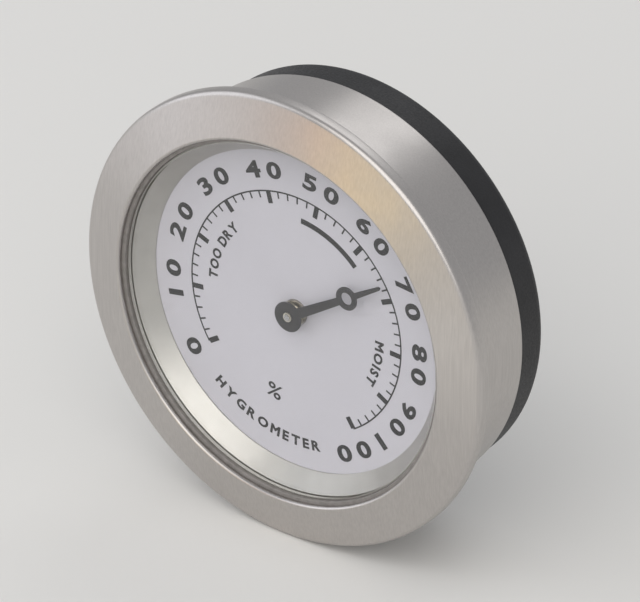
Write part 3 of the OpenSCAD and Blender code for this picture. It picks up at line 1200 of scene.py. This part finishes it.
class HYGRO_OT_stage(bpy.types.Operator):
    """Pale floor, soft lights and the camera"""

    bl_idname = "hygro.stage"
    bl_label = "Stage"
    bl_options = {"REGISTER", "UNDO"}

    # name, size in metres, power in watts, place and colour
    LAMPS = (
        ("Key", 1.6, 12.4, (0.38, -1.05, 0.95), "FFFCF8"),
        ("Fill", 1.3, 6, (-1.3, -0.7, 0.65), "F6F9FF"),
        ("Back", 0.8, 2, (-0.2, 0.9, 1.1), "FFFFFF"),
    )
    # small soft boxes that show only in glossy reflections
    CARDS = (
        ("Orange card", 0.02, 0.0007, (-0.052, -0.105, 0.002), "FF7A30"),
        ("Yellow card", 0.03, 0.0031, (-0.028, -0.105, -0.002), "FFD23C"),
        ("White card", 0.045, 0.0026, (-0.07, -0.052, 0.005), "F4F4FF"),
        ("Low card", 0.016, 0.00014, (0.010, -0.030, -0.010), "FFFCF4"),
    )

    def execute(self, context):
        scene = context.scene
        stage = scene.hygro_stage
        scene.view_settings.view_transform = "Standard"
        self.floor(CAD_BOX[0].z - 0.02 * MM, stage.floor)
        self.world(scene)
        for values in self.LAMPS:
            self.lamp(*values)
        for values in self.CARDS:
            self.lamp(*values, card=True)
        self.camera(scene)
        return {"FINISHED"}

    def floor(self, z, colour):
        deselect()
        bpy.ops.mesh.primitive_plane_add(size=8, location=(0, 0, z))
        board = bpy.context.object
        board.name = "floor"
        board.data.materials.append(pale_floor("Pale painted board", colour))

    def world(self, scene):
        world = bpy.data.worlds.new("Studio")
        scene.world = world
        world.use_nodes = True
        background = world.node_tree.nodes["Background"]
        background.inputs["Color"].default_value = (*linear("F2F3F6"), 1)
        background.inputs["Strength"].default_value = 0.53

    def lamp(self, name, size, power, place_at, colour, card=False):
        """A square soft box that faces the object. A card shows only in glossy reflections."""
        data = bpy.data.lights.new(name, "AREA")
        data.size, data.energy, data.color = size, power, linear(colour)
        lamp = bpy.data.objects.new(name, data)
        bpy.context.scene.collection.objects.link(lamp)
        lamp.location = place_at
        lamp.rotation_euler = (-Vector(place_at)).to_track_quat("-Z", "Y").to_euler()
        if card:
            lamp.visible_camera = lamp.visible_diffuse = lamp.visible_transmission = False

    def camera(self, scene):
        stage = scene.hygro_stage
        a, e = stage.azimuth, stage.elevation
        back = Vector((math.sin(a) * math.cos(e), -math.cos(a) * math.cos(e), math.sin(e)))
        right = Vector((math.cos(a), math.sin(a), 0))
        aim = right * stage.aim_right + back.cross(right) * stage.aim_up
        data = bpy.data.cameras.new("Camera")
        data.lens, data.clip_start, data.clip_end = stage.lens, 0.05, 20
        camera = bpy.data.objects.new("Camera", data)
        scene.collection.objects.link(camera)
        camera.location = aim + back * stage.distance
        camera.rotation_euler = (-back).to_track_quat("-Z", "Y").to_euler()
        scene.camera = camera


OPERATORS = (
    HYGRO_OT_bezel,
    HYGRO_OT_window,
    HYGRO_OT_rehaut,
    HYGRO_OT_dial,
    HYGRO_OT_print,
    HYGRO_OT_pointer,
    HYGRO_OT_housing,
    HYGRO_OT_back_hardware,
    HYGRO_OT_coil,
    HYGRO_OT_inner_finishes,
    HYGRO_OT_stage,
)


class HYGRO_PT_panel(bpy.types.Panel):
    """Sidebar panel with a button for each step, the sizes and the finishes"""

    bl_idname = "HYGRO_PT_panel"
    bl_label = "Dial Hygrometer"
    bl_space_type = "VIEW_3D"
    bl_region_type = "UI"
    bl_category = "Hygrometer"

    def draw(self, context):
        for operator in OPERATORS:
            self.layout.operator(operator.bl_idname)
        for name, group in GROUPS.items():
            box = self.layout.box()
            for key in group.__annotations__:
                box.prop(getattr(context.scene, name), key)


def register():
    for cls in (*GROUPS.values(), *OPERATORS, HYGRO_PT_panel):
        bpy.utils.register_class(cls)
    for name, group in GROUPS.items():
        setattr(bpy.types.Scene, name, bpy.props.PointerProperty(type=group))


def unregister():
    for name in GROUPS:
        delattr(bpy.types.Scene, name)
    for cls in reversed((*GROUPS.values(), *OPERATORS, HYGRO_PT_panel)):
        bpy.utils.unregister_class(cls)


def main():
    register()
    for operator in OPERATORS:
        group, name = operator.bl_idname.split(".")
        getattr(getattr(bpy.ops, group), name)()


if __name__ == "__main__":
    main()
